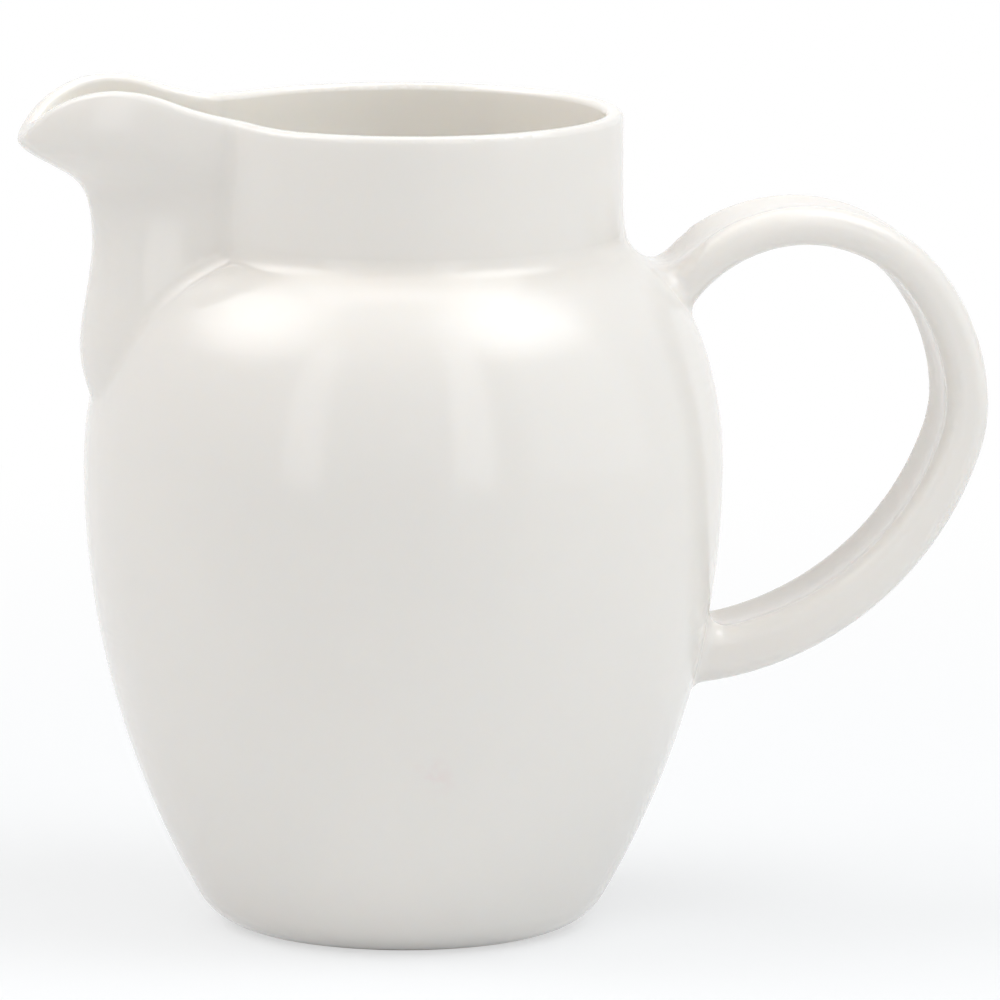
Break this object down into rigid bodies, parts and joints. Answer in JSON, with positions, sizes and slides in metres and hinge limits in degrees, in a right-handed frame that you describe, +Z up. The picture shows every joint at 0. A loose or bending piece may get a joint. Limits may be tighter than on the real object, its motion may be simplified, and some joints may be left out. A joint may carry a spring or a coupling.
{
  "type": "milk jug",
  "caption": "Round-bellied glazed porcelain milk jug with a straight neck, a beak-like pouring spout and a grooved strap handle.",
  "frame": {"origin": "middle of the foot ring, on the plane the jug stands on, which is also the axis the round body is turned about", "axes": "+Z up along the body's axis, +X towards the handle, so the spout points along -X, and Y = 0 is the mirror plane"},
  "size_m": [0.1389, 0.0912, 0.1214],
  "materials": {
    "porcelain": "smooth glossy white glaze, a little warm"
  },
  "bodies": {
    "root": {"jug": "porcelain"}
  },
  "joints": []
}
